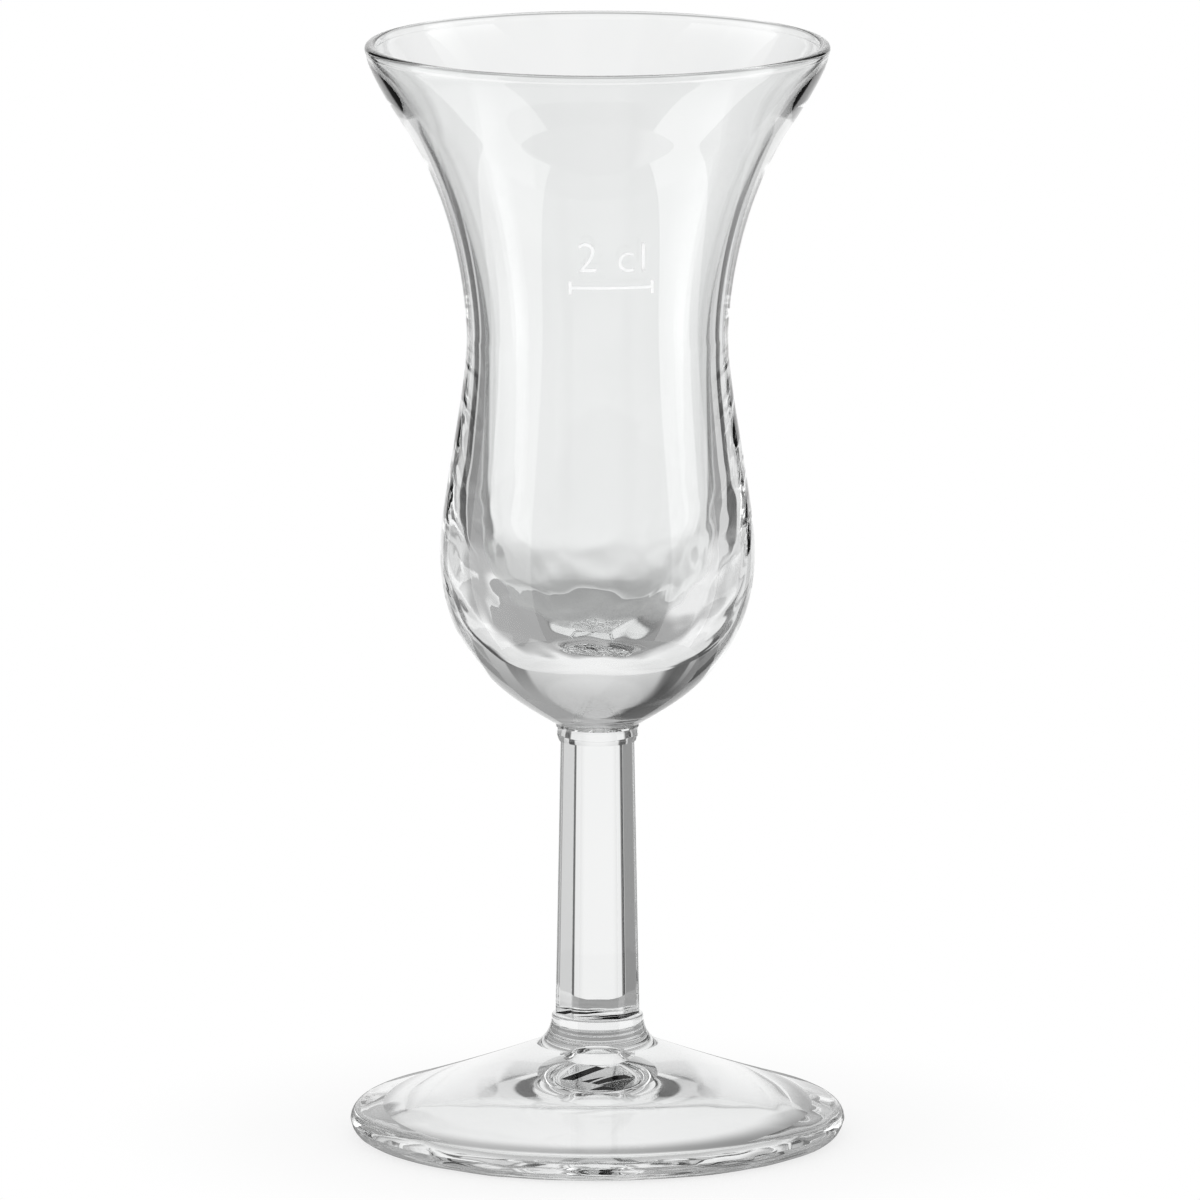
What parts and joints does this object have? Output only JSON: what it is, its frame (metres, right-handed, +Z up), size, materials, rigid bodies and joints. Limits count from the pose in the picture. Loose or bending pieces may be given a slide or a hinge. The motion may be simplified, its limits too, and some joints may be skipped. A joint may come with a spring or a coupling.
{
  "type": "grappa glass",
  "caption": "Footed spirit glass: a thick-based tulip bowl with a drawn-in waist and a flared rim, on a faceted tapering stem and a round conical foot.",
  "frame": {"origin": "centre of the foot on the surface that the glass stands on", "axes": "+Z up along the axis of the glass, -Y towards the front, where the fill mark is"},
  "size_m": [0.0552, 0.0552, 0.123],
  "materials": {
    "clear_glass": "fire-polished clear soda-lime glass",
    "fill_mark": "thin fired-on white enamel"
  },
  "bodies": {
    "root": {"foot": "clear_glass", "stem_collar": "clear_glass", "stem": "clear_glass", "neck_ring": "clear_glass", "bowl": "clear_glass"}
  },
  "joints": []
}
